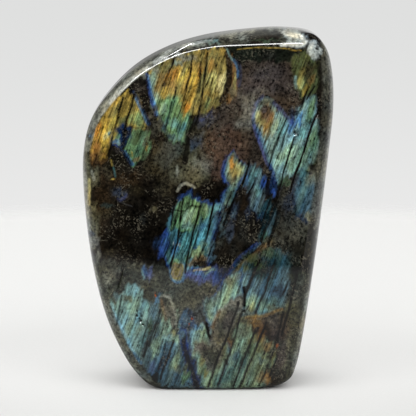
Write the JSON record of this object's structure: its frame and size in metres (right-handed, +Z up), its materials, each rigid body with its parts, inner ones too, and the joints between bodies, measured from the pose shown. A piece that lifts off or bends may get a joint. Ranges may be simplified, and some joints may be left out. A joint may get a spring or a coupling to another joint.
{
  "type": "polished labradorite freeform",
  "caption": "Upright polished labradorite stone: broad domed front with coloured flash, rounded rim, ground shoulder and a flat base to stand on.",
  "frame": {"origin": "centre of the bounding box, on the flat base's plane", "axes": "+Z up from the base to the top, -Y out of the broad front face, +X to the right seen from the front"},
  "size_m": [0.104, 0.047, 0.1492],
  "materials": {
    "labradorite": "polished"
  },
  "bodies": {
    "root": {"stone": "labradorite"}
  },
  "joints": []
}
